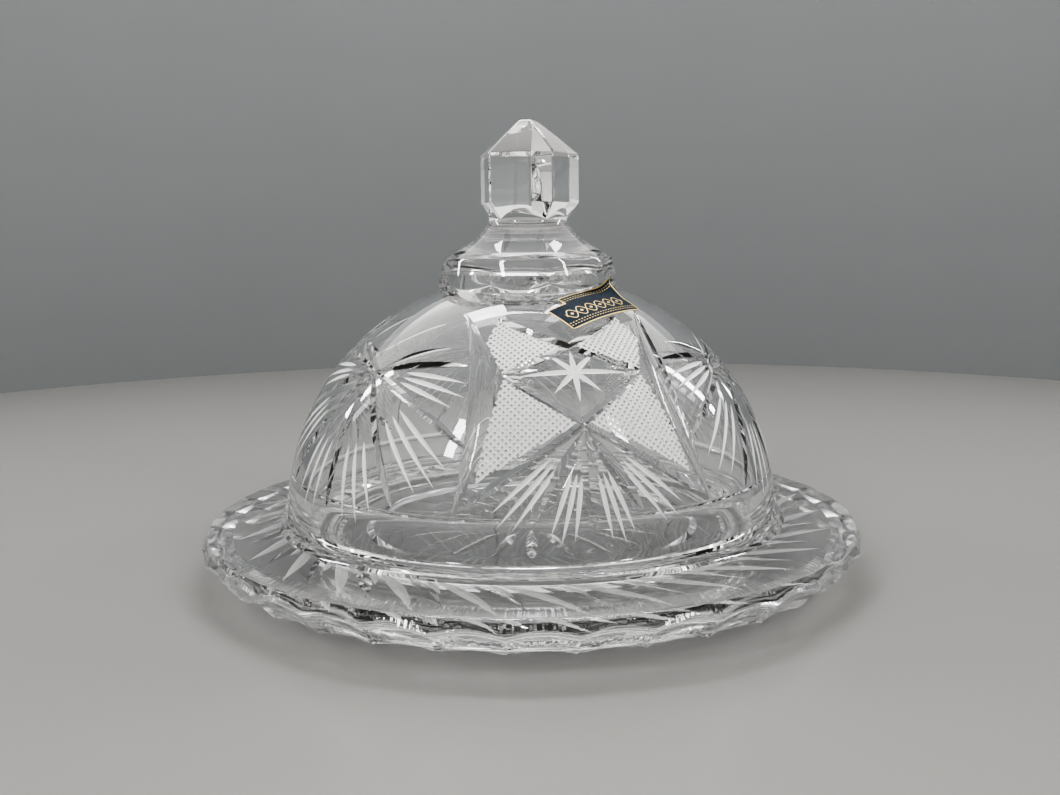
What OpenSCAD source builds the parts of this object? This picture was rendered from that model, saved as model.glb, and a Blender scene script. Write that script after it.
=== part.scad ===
// Domed butter dish in cut crystal: a flat underplate with a scalloped rim, and a domed cover with a
// fluted collar and a five-sided knob, which lifts straight off. A thin foil label sits on the cover.
// Millimetres, +Z up, origin in the middle of the face the plate stands on, front towards -Y.

/* [Plate] */
// Diameter over the corners of the scalloped rim
plate_d = 200; // [165:1:240]
// Number of scallops round the rim
scallops = 36; // [24:1:48]
// Depth of each scallop, from the line between its two corners
scallop_depth = 0.96; // [0.5:0.02:1.3]
// Turn of the scallops about the axis
scallop_turn = -3.75; // [-5:0.25:5]
// Height of the rim's lower corner above the table
rim_low_z = 4.5; // [3:0.5:7]
// Height of the rim's side, from its lower corner to its widest line
rim_side_h = 7.9; // [6:0.1:10]
// How far the rim's side leans in at its lower corner
rim_lean = 5.4; // [2:0.1:8]
// Width and height of the bevel above the widest line
rim_bevel = 2; // [1:0.1:3]
// Width of the band from the rim's edge to the flat flange
rim_band_w = 8; // [6:0.5:12]
// How far the flange's upper face stands above the top of the bevel
flange_rise = 0.8; // [0:0.1:2]
// Thickness of the flange
flange_t = 7.6; // [5:0.1:9]
// Height of the raised ring that the cover stands on, above the flange
seat_rise = 1.2; // [0.6:0.1:3]
// Depth of the shallow well inside that ring
well_depth = 2.2; // [1:0.1:3.5]
// Outer diameter of the foot
foot_d = 120; // [80:1:130]
// Width of the foot's ring
foot_w = 8; // [4:0.5:14]
// Depth of the hollow inside the foot
foot_hollow = 2.5; // [1:0.1:4]

/* [Cover] */
// Diameter of the cover's base
cover_d = 151.4; // [130:0.2:158]
// Height of the band at the base that stands straight
base_band_h = 2.4; // [1:0.1:5]
// How far the dome starts inside the base band
base_step = 0.9; // [0:0.1:2]
// Height that the dome's curve would reach on the axis
dome_h = 72; // [62:0.5:84]
// Wall thickness of the dome
wall = 5.5; // [4:0.1:8]
// Spare width of the seat ring on each side of the cover's wall
seat_margin = 0.8; // [0.4:0.1:3]
// Groove between the dome and the collar, measured inwards
collar_groove = 1.2; // [0.5:0.1:2.5]
// Diameter of the collar at its lower edge
collar_low_d = 55.4; // [46:0.2:64]
// How far the collar's side leans in, from its lower edge to its upper edge
collar_lean = 2.4; // [1:0.1:4]
// Height of the groove under the collar
groove_h = 2; // [1:0.1:4]
// Height of the collar
collar_h = 7.4; // [5:0.1:10]
// Number of flutes round the collar
collar_flutes = 10; // [6:1:16]
// Depth of a collar flute
flute_depth = 0.7; // [0.3:0.1:1.2]
// Thickness of the glass over the hollow, inside the collar
ceiling_t = 4.6; // [3:0.1:7]
// Height of the flare, from the collar's upper edge to the neck
flare_h = 10.9; // [8:0.1:16]
// Diameter of the neck
neck_d = 23.6; // [18:0.2:28]

/* [Knob] */
// Number of sides of the knob
knob_sides = 5; // [4:1:8]
// Diameter of the knob over its corners
knob_d = 32; // [28:0.2:40]
// Turn of the knob about the axis
knob_turn = -8; // [-36:1:36]
// Height of the slanted faces under the knob
knob_under_h = 5.2; // [3:0.1:8]
// Height of the upright faces
knob_side_h = 14.4; // [8:0.1:20]
// Height of the crown's lower faces
crown_low_h = 5.6; // [4:0.1:10]
// Diameter over the corners where the crown's slope changes
crown_mid_d = 17.6; // [12:0.2:22]
// Height of the crown's upper faces
crown_top_h = 4.2; // [2:0.1:7]
// Diameter of the small flat on top, over its corners
crown_flat_d = 6.2; // [2:0.2:8]

/* [Label] */
// Length of the label
label_w = 29; // [20:0.5:34]
// Width of the label
label_h = 13.5; // [9:0.5:16]
// Thickness of the label
label_t = 0.3; // [0.2:0.05:0.6]
// Film of gum between the label and the glass
label_gum = 0.05; // [0.02:0.01:0.1]
// Place of the label round the cover, from the front towards +X
label_az = 31; // [-60:1:60]
// Turn of the label in its own plane
label_turn = 17; // [-25:1:25]
// Cut across each corner of the label
label_corner = 1.2; // [0.5:0.1:3]

/* [Hidden] */
$fn = 96;
eps = 0.01;
crystal = [0.86, 0.92, 0.95, 0.6];
foil_navy = [0.08, 0.18, 0.26];

// Plate heights and radii
plate_r = plate_d / 2;
rim_wide_z = rim_low_z + rim_side_h;
rim_top_z = rim_wide_z + rim_bevel;
flange_z = rim_top_z + flange_rise;
seat_z = flange_z + seat_rise;
well_z = flange_z + seat_rise - well_depth;
under_z = flange_z - flange_t;
rim_low_r = plate_r - rim_lean;
flange_r = plate_r - rim_band_w;
foot_r = foot_d / 2;

// Cover radii; the seat ring takes its place from the cover's wall
base_r = cover_d / 2;
dome_r = base_r - base_step;
hollow_r = base_r - base_step - wall;
hollow_h = dome_h - wall;
seat_out_r = base_r + seat_margin;
seat_in_r = hollow_r - seat_margin;

// Cover heights, measured from its base
collar_low_r = collar_low_d / 2;
collar_top_r = collar_low_r - collar_lean;
groove_r = collar_low_r - collar_groove;
groove_z = ellipse_z(groove_r, dome_r, dome_h);
collar_z = groove_z + groove_h;
flare_z = collar_z + collar_h;
neck_r = neck_d / 2;
neck_z = flare_z + flare_h;
attic_r = collar_top_r - wall + 0.7;
attic_low_r = attic_r + 1;
attic_z = flare_z - ceiling_t;

// Knob heights, measured from the cover's base
knob_r = knob_d / 2;
knob_z = neck_z + knob_under_h;
crown_z = knob_z + knob_side_h;
crown_mid_z = crown_z + crown_low_h;
knob_top_z = crown_mid_z + crown_top_h;

// Label seat: just under the collar, on the dome's slope
label_r = collar_low_r + 6.5;
label_z = ellipse_z(label_r, dome_r, dome_h);
label_slope = atan(dome_h * dome_h * label_r / (dome_r * dome_r * label_z));

// Height of an ellipse of half axes a (level) and h (upright) at the distance r from its axis
function ellipse_z(r, a, h) = h * sqrt(1 - r * r / (a * a));

// Points of that ellipse from height z0 up to the distance r1 from the axis, in n steps
function ellipse_arc(a, h, z0, r1, n) =
    let (t0 = asin(z0 / h), t1 = acos(r1 / a))
    [for (i = [0:n]) let (t = t0 + (t1 - t0) * i / n) [a * cos(t), h * sin(t)]];

// Quadratic curve from p to q, pulled towards c
function bow(p, c, q, n) =
    [for (i = [0:n]) let (t = i / n) p * (1 - t) * (1 - t) + c * 2 * t * (1 - t) + q * t * t];

function reversed(list) = [for (i = [len(list) - 1:-1:0]) list[i]];

// Section of the underplate: foot, flange, leaning rim, bevel, raised seat ring and shallow well
module plate_section() {
    polygon(concat(
        [[0, foot_hollow], [foot_r - foot_w - foot_hollow, foot_hollow], [foot_r - foot_w, 0], [foot_r, 0]],
        bow([foot_r + 1, 1], [foot_r + 3, under_z], [foot_r + 10, under_z], 6),
        [[rim_low_r - 6, under_z], [rim_low_r, rim_low_z]],
        [[plate_r, rim_wide_z], [plate_r - rim_bevel, rim_top_z], [flange_r, flange_z]],
        [[seat_out_r + seat_rise, flange_z], [seat_out_r, seat_z]],
        [[seat_in_r, seat_z], [seat_in_r - well_depth, well_z], [0, well_z]]
    ));
}

// Wheels that hollow the rim's side; they lean as the side does and meet at the rim's corners
module rim_scallops() {
    pitch = 360 / scallops;
    lean = atan(rim_lean / rim_side_h);
    half_chord = plate_r * sin(pitch / 2);
    wheel_r = (half_chord * half_chord + scallop_depth * scallop_depth) / (2 * scallop_depth);
    cut_r = plate_r * cos(pitch / 2) - scallop_depth / cos(lean);
    for (i = [0:scallops - 1])
        rotate([0, 0, scallop_turn + (i + 0.5) * pitch])
            translate([0, -cut_r, rim_wide_z])
                rotate([lean, 0, 0])
                    translate([0, -wheel_r, 0])
                        cylinder(r = wheel_r, h = 3 * (rim_side_h + rim_bevel), center = true);
}

module plate() {
    color(crystal)
        difference() {
            rotate_extrude() plate_section();
            rim_scallops();
        }
}

// Section of the cover's glass, from its base up to the neck, with the hollow below and in the collar
module cover_section() {
    outer = concat(
        [[base_r - 0.8, 0], [base_r, 0.8], [base_r, base_band_h]],
        ellipse_arc(dome_r, dome_h, 2.2 * base_band_h, groove_r, 22),
        [[groove_r, collar_z - groove_h / 2], [collar_low_r, collar_z], [collar_top_r, flare_z]],
        bow([collar_top_r - 0.6, flare_z + 0.6], [neck_r + 0.8, flare_z + flare_h / 2], [neck_r, neck_z], 8)
    );
    inner = concat(
        [[hollow_r, 0]],
        ellipse_arc(hollow_r, hollow_h, base_band_h, attic_low_r, 20),
        [[attic_r, attic_z - 1], [attic_r - 1, attic_z], [0, attic_z]]
    );
    polygon(concat(outer, [[0, neck_z]], reversed(inner)));
}

// Upright wheels that hollow the collar's side into flutes
module collar_cuts() {
    pitch = 360 / collar_flutes;
    half_chord = collar_low_r * sin(pitch / 2);
    wheel_r = (half_chord * half_chord + flute_depth * flute_depth) / (2 * flute_depth);
    for (i = [0:collar_flutes - 1])
        rotate([0, 0, knob_turn + i * pitch])
            translate([0, -collar_low_r * cos(pitch / 2) - wheel_r + flute_depth, collar_z - groove_h / 2])
                cylinder(r = wheel_r, h = groove_h / 2 + collar_h / 2);
}

// Half space above a slope that runs from [x1, z1] to [x2, z2] on the +X side
module above_slope(x1, z1, x2, z2) {
    block = 4 * knob_d;
    translate([x1, 0, z1])
        rotate([0, atan2(z2 - z1, x1 - x2), 0])
            translate([-block / 2, -block / 2, 0])
                cube(block);
}

// Solid knob: an upright prism with slanted faces under it and a crown of two slopes
module knob() {
    inset = cos(180 / knob_sides);
    difference() {
        translate([0, 0, neck_z - eps])
            cylinder(r = knob_r, h = knob_top_z - neck_z + eps, $fn = knob_sides);
        for (i = [0:knob_sides - 1])
            rotate([0, 0, (i + 0.5) * 360 / knob_sides]) {
                above_slope(knob_r * inset, crown_z, crown_mid_d / 2 * inset, crown_mid_z);
                above_slope(crown_mid_d / 2 * inset, crown_mid_z, crown_flat_d / 2 * inset, knob_top_z);
                translate([0, 0, 2 * knob_z]) mirror([0, 0, 1])
                    above_slope(knob_r * inset, knob_z, neck_r * inset, 2 * knob_z - neck_z);
            }
    }
}

module cover() {
    color(crystal)
        translate([0, 0, seat_z]) {
            difference() {
                rotate_extrude() cover_section();
                collar_cuts();
            }
            rotate([0, 0, knob_turn - 90 + 180 / knob_sides]) knob();
        }
}

// Thin skin just outside the dome's curve, as thick as the label
module label_skin() {
    near = ellipse_arc(dome_r + label_gum, dome_h + label_gum, dome_h / 2, collar_low_r + 0.5, 14);
    far = ellipse_arc(dome_r + label_gum + label_t, dome_h + label_gum + label_t, dome_h / 2,
                      collar_low_r + 0.5, 14);
    rotate_extrude() polygon(concat(near, reversed(far)));
}

module label_outline() {
    w = label_w / 2;
    h = label_h / 2;
    c = label_corner;
    polygon([[-w + c, -h], [w - c, -h], [w, c - h], [w, h - c], [w - c, h], [c - w, h], [-w, h - c], [-w, c - h]]);
}

module label() {
    color(foil_navy)
        translate([0, 0, seat_z])
            intersection() {
                label_skin();
                translate([label_r * sin(label_az), -label_r * cos(label_az), label_z])
                    rotate([label_slope, 0, label_az])
                        rotate([0, 0, label_turn])
                            linear_extrude(height = 2 * label_h, center = true) label_outline();
            }
}

plate();
cover();
label();
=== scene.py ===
"""A domed butter dish in cut crystal: scalloped underplate, lifting cover with a five-sided knob, foil label.

Lengths inside the classes are millimetres and turn to metres when a mesh is made. A bearing is the
angle round the dish's axis in degrees, from the front (-Y) towards +X.
"""

import logging
from abc import ABC, abstractmethod
from dataclasses import dataclass, replace
from enum import Enum

import bpy
import numpy as np
from mathutils import Matrix, Vector
from mathutils.geometry import delaunay_2d_cdt


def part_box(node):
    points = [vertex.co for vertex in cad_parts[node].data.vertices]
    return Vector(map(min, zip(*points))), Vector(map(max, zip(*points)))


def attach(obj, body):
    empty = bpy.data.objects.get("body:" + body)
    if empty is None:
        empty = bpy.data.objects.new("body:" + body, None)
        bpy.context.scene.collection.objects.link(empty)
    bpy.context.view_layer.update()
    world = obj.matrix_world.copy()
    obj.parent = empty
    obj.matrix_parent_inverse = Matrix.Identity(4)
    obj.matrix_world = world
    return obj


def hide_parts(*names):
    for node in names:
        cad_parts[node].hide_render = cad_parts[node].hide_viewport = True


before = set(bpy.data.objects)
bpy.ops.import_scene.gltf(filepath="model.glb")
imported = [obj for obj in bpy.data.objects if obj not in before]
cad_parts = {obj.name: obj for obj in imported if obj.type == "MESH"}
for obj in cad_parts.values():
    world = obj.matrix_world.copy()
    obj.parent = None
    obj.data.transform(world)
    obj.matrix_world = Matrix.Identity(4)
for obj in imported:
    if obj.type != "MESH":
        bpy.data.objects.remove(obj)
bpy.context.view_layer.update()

LOG = logging.getLogger("butter_dish")
MM = 0.001
GLASS_CREASE = 24.0
LABEL_CREASE = 40.0

Array = np.ndarray
Pair = tuple[float, float]
Triple = tuple[float, float, float]
Colour = tuple[float, float, float, float]


# ---------------------------------------------------------------------------------------- shader nodes


class Sum:
    """A value socket that takes part in Python arithmetic; each operator adds one Math node."""

    def __init__(self, shader: "Shader", socket: bpy.types.NodeSocket) -> None:
        """Keeps the socket and the material that it belongs to."""
        self.shader = shader
        self.socket = socket

    def _math(self, operation: str, *values: "Sum | float") -> "Sum":
        """Adds a Math node on the values in order and returns its result."""
        return self.shader.value("ShaderNodeMath", {"operation": operation}, dict(enumerate(values)))

    def __add__(self, other: "Sum | float") -> "Sum":
        """self + other."""
        return self._math("ADD", self, other)

    __radd__ = __add__

    def __mul__(self, other: "Sum | float") -> "Sum":
        """self * other."""
        return self._math("MULTIPLY", self, other)

    __rmul__ = __mul__

    def __sub__(self, other: "Sum | float") -> "Sum":
        """self - other."""
        return self._math("SUBTRACT", self, other)

    def __rsub__(self, other: "Sum | float") -> "Sum":
        """other - self."""
        return self._math("SUBTRACT", other, self)

    def __truediv__(self, other: "Sum | float") -> "Sum":
        """self / other."""
        return self._math("DIVIDE", self, other)

    def __gt__(self, other: "Sum | float") -> "Sum":
        """1 where self is greater than other, else 0."""
        return self._math("GREATER_THAN", self, other)

    def __lt__(self, other: "Sum | float") -> "Sum":
        """1 where self is less than other, else 0."""
        return self._math("LESS_THAN", self, other)

    def size(self) -> "Sum":
        """The value without its sign."""
        return self._math("ABSOLUTE", self)

    def swing(self) -> "Sum":
        """The sine of the value."""
        return self._math("SINE", self)

    def least(self, other: "Sum | float") -> "Sum":
        """The smaller of the two."""
        return self._math("MINIMUM", self, other)

    def most(self, other: "Sum | float") -> "Sum":
        """The larger of the two."""
        return self._math("MAXIMUM", self, other)

    def root(self) -> "Sum":
        """The square root."""
        return self._math("SQRT", self)

    def bearing(self, other: "Sum | float") -> "Sum":
        """The angle of the point (other, self) in radians."""
        return self._math("ARCTAN2", self, other)


class Shader:
    """A node material with one way to add any node."""

    def __init__(self, name: str) -> None:
        """Starts an empty material of that name.

        Args:
            name: the name that it gets.
        """
        self.material = bpy.data.materials.new(name)
        self.material.use_nodes = True
        self.tree = self.material.node_tree
        self.tree.nodes.clear()

    def node(self, kind: str, settings: dict | None = None, sockets: dict | None = None) -> bpy.types.Node:
        """Adds a node.

        Args:
            kind: the node's type.
            settings: properties that are set first, such as a Math node's operation.
            sockets: an input's name or number, and its value, its link, or a Sum.

        Returns:
            The new node.
        """
        made = self.tree.nodes.new(kind)
        for name, value in (settings or {}).items():
            setattr(made, name, value)
        for name, value in (sockets or {}).items():
            if isinstance(value, Sum):
                value = value.socket
            if isinstance(value, bpy.types.NodeSocket):
                self.tree.links.new(value, made.inputs[name])
            else:
                made.inputs[name].default_value = value
        return made

    def value(self, kind: str, settings: dict | None = None, sockets: dict | None = None) -> Sum:
        """Adds a node as node() does and returns its first output for arithmetic."""
        return Sum(self, self.node(kind, settings, sockets).outputs[0])

    def place(self) -> bpy.types.NodeSocket:
        """The place on the object, in metres in its own frame."""
        return self.node("ShaderNodeTexCoord").outputs["Object"]

    def noise(self, place: bpy.types.NodeSocket, scale: float, detail: float) -> Sum:
        """Noise from 0 to 1 over a place."""
        return self.value("ShaderNodeTexNoise", None, {"Vector": place, "Scale": scale, "Detail": detail})

    def parts(self, place: bpy.types.NodeSocket) -> list[Sum]:
        """The three numbers of a place."""
        split = self.node("ShaderNodeSeparateXYZ", None, {0: place})
        return [Sum(self, output) for output in split.outputs]

    def zigzag(self, value: Sum, half: float) -> Sum:
        """Rises from 0 to half and falls back again, over and over."""
        return self.value("ShaderNodeMath", {"operation": "PINGPONG"}, {0: value, 1: half})

    def bump(self, height: Sum, strength: float, distance: float) -> bpy.types.NodeSocket:
        """The normal that a height gives."""
        sockets = {"Strength": strength, "Distance": distance, "Height": height}
        return self.node("ShaderNodeBump", None, sockets).outputs[0]

    def surface(self, **sockets: object) -> bpy.types.NodeSocket:
        """A principled surface, a socket's name being written with _ for each space."""
        named = {name.replace("_", " "): value for name, value in sockets.items()}
        return self.node("ShaderNodeBsdfPrincipled", None, named).outputs[0]

    def coat(self, **sockets: object) -> bpy.types.Material:
        """Ends the material in a principled surface, as surface() makes it."""
        return self.finish(self.surface(**sockets))

    def blend(self, share: Sum | float, first: object, second: object) -> bpy.types.NodeSocket:
        """Mixes two colours, each a socket or four numbers, and returns the colour."""
        return self.node("ShaderNodeMix", {"data_type": "RGBA"}, {0: share, 6: first, 7: second}).outputs[2]

    def finish(self, surface: bpy.types.NodeSocket) -> bpy.types.Material:
        """Links the surface to the material's output and returns the material."""
        self.node("ShaderNodeOutputMaterial", None, {"Surface": surface})
        return self.material


# ------------------------------------------------------------------------------------------- finishes


LEAD_CRYSTAL = 1.545


@dataclass(frozen=True)
class PolishedCrystal:
    """Clear lead crystal with the faint unevenness of a fire-polished surface.

    The slow waver and the polish are noises of so many waves a metre. Strokes count the noise's waves for a
    radian round the axis and for a metre up.
    """

    roughness: float = 0.012
    tint: Colour = (0.985, 0.992, 0.995, 1.0)
    ripple: float = 0.05
    slow: float = 70.0
    fine: float = 260.0
    streaks_from: float = 0.0
    streaks: float = 7.0
    strokes: Pair = (70.0, 60.0)

    def material(self, name: str) -> bpy.types.Material:
        """Builds the material: glass whose normal wavers slowly and whose polish varies a little.

        Beyond the radius streaks_from, in metres, it also wavers with the bearing, as a wheel's strokes
        leave it; with streaks_from at 0 it doesn't.

        Args:
            name: the name that it gets.

        Returns:
            The material.
        """
        shader = Shader(name)
        place = shader.place()
        height = shader.noise(place, self.slow, 1.0)
        polish = shader.noise(place, self.fine, 2.0)
        if self.streaks_from:
            x, y, z = shader.parts(place)
            out = (x * x + y * y).root()
            turned = {0: x.bearing(y) * self.strokes[0], 1: z * self.strokes[1]}
            stroke = shader.noise(shader.node("ShaderNodeCombineXYZ", None, turned).outputs[0], 1.0, 2.0)
            height = height + stroke * (out > self.streaks_from) * self.streaks
        return shader.coat(Normal=shader.bump(height, self.ripple, 0.001), Base_Color=self.tint,
                           IOR=LEAD_CRYSTAL, Transmission_Weight=1.0, Roughness=polish * (2 * self.roughness))


@dataclass(frozen=True)
class FrostedCrystal:
    """Crystal left grey-white by the cutting wheel: fine scratches that scatter the light."""

    white: Colour = (0.96, 0.96, 0.955, 1.0)
    through: float = 0.36
    smoothest: float = 0.35
    uneven: float = 0.2
    grain: float = 2600.0

    def material(self, name: str) -> bpy.types.Material:
        """Builds the material: rough glass that also scatters, with grain in its polish and normal.

        Args:
            name: the name that it gets.

        Returns:
            The material.
        """
        shader = Shader(name)
        grain = shader.noise(shader.place(), self.grain, 2.0)
        return shader.coat(Normal=shader.bump(grain, 0.25, 0.0002), Base_Color=self.white, IOR=LEAD_CRYSTAL,
                           Transmission_Weight=self.through, Roughness=grain * self.uneven + self.smoothest)


@dataclass(frozen=True)
class PrintedFoil:
    """Dark navy foil with a gold border and a gold ornament: a plait of two waves between rows of dashes.

    Its outline is a low rectangle with a raised one on its right: tab_from is where that starts, step its rise.
    Lengths are millimetres; line is half the width of a printed line.
    """

    width: float
    height: float
    tab_from: float
    step: float
    navy: Colour = (0.002, 0.012, 0.026, 1.0)
    gold: Colour = (0.72, 0.56, 0.25, 1.0)
    border: float = 0.36
    line: float = 0.13
    rise: float = 1.9
    wave_length: float = 7.6
    lozenge: float = 0.5
    margin: float = 2.6
    half_pitch: float = 0.55
    half_dash: float = 0.26
    rows: tuple[float, ...] = (-4.3, -5.2, 4.4, 5.3)
    wear: float = 900.0

    def material(self, name: str) -> bpy.types.Material:
        """Builds the material from the label's own UV map, whose unit is the millimetre from its middle.

        A wave is the line y = a sin(k x); its distance is |y - a sin(k x)| / sqrt(1 + (a k cos(k x)) ** 2).
        A lozenge is the set 0.8 |x| + |y| < 0.5 round each crossing.

        Args:
            name: the name that it gets.

        Returns:
            The material.
        """
        shader = Shader(name)
        x, y, _ = shader.parts(shader.node("ShaderNodeUVMap").outputs[0])
        side, top = self.width / 2 - x.size(), self.height / 2 - y
        low = side.least(y + self.height / 2)
        edge = low.least(top - self.step).most(low.least(top).least(x - self.tab_from))
        turn, middle = 2 * np.pi / self.wave_length, y + (self.step / 2 - 0.2)
        lean = (x * turn + np.pi / 2).swing() * (self.rise * turn)
        steep = (lean * lean + 1.0).root()
        wave = (x * turn).swing() * self.rise
        plait = ((middle - wave).size() / steep).least((middle + wave).size() / steep) < self.line
        folded = shader.zigzag(x + np.pi / turn / 2, np.pi / turn / 2)
        motif = plait.most(folded * 0.8 + middle.size() < self.lozenge) * (side > self.margin)
        dash = shader.zigzag(x, self.half_pitch) < self.half_dash
        rows = (y - self.rows[0]).size()
        for level in self.rows[1:]:
            rows = rows.least((y - level).size())
        small = (rows < self.line) * dash * (edge > 0.8)
        gilt = (edge < self.border).most(motif).most(small)
        worn = shader.noise(shader.place(), self.wear, 3.0)
        return shader.coat(Base_Color=shader.blend(gilt, self.navy, self.gold), Metallic=gilt * 0.75,
                           Roughness=worn * 0.3 + 0.35, Specular_IOR_Level=0.12)


@dataclass(frozen=True)
class MattStage:
    """A plain stage surface with a slight sheen, which may be painted paler towards the front: painted light
    that stands in for brighter surroundings in front of the dish.

    The reach is where that change begins and ends, in metres along Y. A one-sided surface has no back, so it
    never hides the dish from a view that stands behind it.
    """

    colour: Colour
    roughness: float
    # A front colour is painted light: a paler tone towards the front that stands in for brighter surroundings
    # there.
    front: Colour | None = None
    one_sided: bool = False
    reach: Pair = (-0.16, 0.26)
    clouds: float = 9.0
    darkest: float = 0.94

    def material(self, name: str) -> bpy.types.Material:
        """Builds the material with a faint variation in its colour.

        The front colour holds before the first end of the reach, the other one past its second end. The front
        colour is painted light, a paler tone that stands in for brighter surroundings in front.

        Args:
            name: the name that it gets.

        Returns:
            The material.
        """
        shader = Shader(name)
        place = shader.place()
        darker = tuple(self.darkest * part for part in self.colour[:3]) + (1.0,)
        colour = shader.blend(shader.noise(place, self.clouds, 3.0), self.colour, darker)
        if self.front:
            near, far = self.reach
            share = ((shader.parts(place)[1] - near) / (far - near)).most(0.0).least(1.0)
            # Painted light: the colour turns paler towards the front, standing in for brighter surroundings
            # there.
            colour = shader.blend(share, self.front, colour)
        surface = shader.surface(Base_Color=colour, Roughness=self.roughness, Specular_IOR_Level=0.4)
        if self.one_sided:
            back = shader.node("ShaderNodeNewGeometry").outputs["Backfacing"]
            clear = shader.node("ShaderNodeBsdfTransparent").outputs[0]
            surface = shader.node("ShaderNodeMixShader", None, {0: back, 1: surface, 2: clear}).outputs[0]
        return shader.finish(surface)


# --------------------------------------------------------------------------------- cuts and surfaces


class Finish(Enum):
    """What a face of glass is: its number is the material slot."""

    CLEAR = 0
    FROSTED = 1


class Wheel(Enum):
    """The edge of the wheel that makes a cut."""

    MITRE = "a V with straight flanks"
    ROUND = "a hollow with a curved floor"


@dataclass(frozen=True)
class Cut:
    """One stroke of the wheel between two places on a surface.

    A place is a bearing and a height angle on the dome, or a bearing and a radius on the underplate.
    The depth is slope times half the width at each point of the stroke, so it fades out at both ends.
    """

    start: Pair
    end: Pair
    half: float
    finish: Finish
    wheel: Wheel = Wheel.MITRE
    slope: float = 0.7
    bow: float = 0.0
    lead: float = 1.0
    run_out: float = 0.0

    def half_width(self, along: Array, length: float) -> Array:
        """Half the width along the stroke.

        Leaf: half * sin(pi * (along / length) ** lead), widest nearer the start for lead under 1.
        Straight-sided, when run_out is set: half, falling as a square root over run_out at both ends.

        Args:
            along: distances from the start.
            length: the stroke's whole length.

        Returns:
            Half the width at each distance.
        """
        share = np.clip(along / length, 0.0, 1.0)
        if self.run_out:
            near = np.minimum(along, length - along) / self.run_out
            return self.half * np.sqrt(np.clip(near, 0.0, 1.0))
        return self.half * np.sin(np.pi * share ** self.lead)

    def middle(self, along: Array, length: float) -> Array:
        """How far the stroke's middle line bows to its left: bow times the parabola 4u(1-u)."""
        share = np.clip(along / length, 0.0, 1.0)
        return self.bow * 4 * share * (1 - share)

    def depth(self, along: Array, across: Array, length: float) -> Array:
        """Depth below the surface: slope * w * (1 - t), or (1 - t * t) for a round wheel, t = |across| / w.

        Args:
            along: distances from the start.
            across: distances to the left of the stroke's line.
            length: the line's whole length.

        Returns:
            The depth at each point, 0 outside the cut.
        """
        wide = self.half_width(along, length)
        offset = np.abs(across - self.middle(along, length)) / np.maximum(wide, 1e-6)
        shape = 1 - offset if self.wheel is Wheel.MITRE else 1 - offset * offset
        inside = (along > 0) & (along < length) & (offset < 1)
        return np.where(inside, self.slope * wide * shape, 0.0)

    def turned(self, angle: float) -> "Cut":
        """The same cut, turned round the axis by an angle in degrees."""
        start, end = ((bearing + angle, level) for bearing, level in (self.start, self.end))
        return replace(self, start=start, end=end)


class Track(ABC):
    """The shortest line between two places, with distances along and across it in millimetres."""

    length: float

    @abstractmethod
    def at(self, along: Array, across: Array) -> Array:
        """Points, in the surface's own vectors, at distances along and to the left of the line."""

    @abstractmethod
    def locate(self, points: Array) -> tuple[Array, Array]:
        """Distances along the line and to its left of points in the surface's own vectors."""


class GreatArc(Track):
    """Part of a great circle on the sphere of unit vectors, scaled by a radius."""

    def __init__(self, start: Array, end: Array, radius: float) -> None:
        """Works out the start, the heading and the left hand as unit vectors.

        Args:
            start: the unit vector that it starts from.
            end: the unit vector that it ends at.
            radius: the radius that turns angles to lengths.
        """
        self.start, self.radius = start, radius
        left = np.cross(start, end)
        self.left = left / np.linalg.norm(left)
        self.ahead = np.cross(self.left, start)
        self.length = radius * float(np.arccos(np.clip(start @ end, -1, 1)))

    def at(self, along: Array, across: Array) -> Array:
        """start cos s + ahead sin s, then turned towards left by the distance across."""
        s, d = (np.asarray(along) / self.radius)[:, None], (np.asarray(across) / self.radius)[:, None]
        return (self.start * np.cos(s) + self.ahead * np.sin(s)) * np.cos(d) + self.left * np.sin(d)

    def locate(self, points: Array) -> tuple[Array, Array]:
        """The angle from the start within the circle's plane, and the angle out of that plane."""
        along = self.radius * np.arctan2(points @ self.ahead, points @ self.start)
        return along, self.radius * np.arcsin(np.clip(points @ self.left, -1, 1))


class StraightLine(Track):
    """A straight line in a plane."""

    def __init__(self, start: Array, end: Array) -> None:
        """Works out the heading and the left hand.

        Args:
            start: the point that it starts from.
            end: the point that it ends at.
        """
        self.start = start
        self.length = float(np.linalg.norm(end - start))
        self.ahead = (end - start) / self.length
        self.left = np.array([self.ahead[1], -self.ahead[0]])

    def at(self, along: Array, across: Array) -> Array:
        """start + ahead * along + left * across."""
        return self.start + np.outer(along, self.ahead) + np.outer(across, self.left)

    def locate(self, points: Array) -> tuple[Array, Array]:
        """The offset from the start, measured along the two directions."""
        offset = points - self.start
        return offset @ self.ahead, offset @ self.left


class Surface(ABC):
    """A surface of revolution with a flat chart that keeps angles: x is the bearing, y follows the profile."""

    reference: float

    @abstractmethod
    def height(self, value: float) -> float:
        """The chart's y, in millimetres, of a height angle or a radius."""

    @abstractmethod
    def vectors(self, chart: Array) -> Array:
        """The chart's points as the vectors that tracks use."""

    @abstractmethod
    def chart(self, vectors: Array) -> Array:
        """The vectors as points of the chart."""

    @abstractmethod
    def track(self, start: Pair, end: Pair) -> Track:
        """The shortest line between two places."""

    @abstractmethod
    def place(self, chart: Array, depth: Array) -> Array:
        """Points in space, in millimetres, at a depth below the surface."""

    @abstractmethod
    def grain(self, chart: Array) -> Array:
        """Millimetres on the surface for each millimetre of the chart."""

    @abstractmethod
    def outward(self, chart: Array) -> tuple[Array, Array, Array]:
        """Unit vectors: the surface's normal, the way of growing bearing, and the way of growing y."""

    def point(self, place: Pair) -> Array:
        """A place as the vector that tracks use."""
        x = self.reference * np.radians(place[0])
        return self.vectors(np.array([[x, self.height(place[1])]]))[0]


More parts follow.
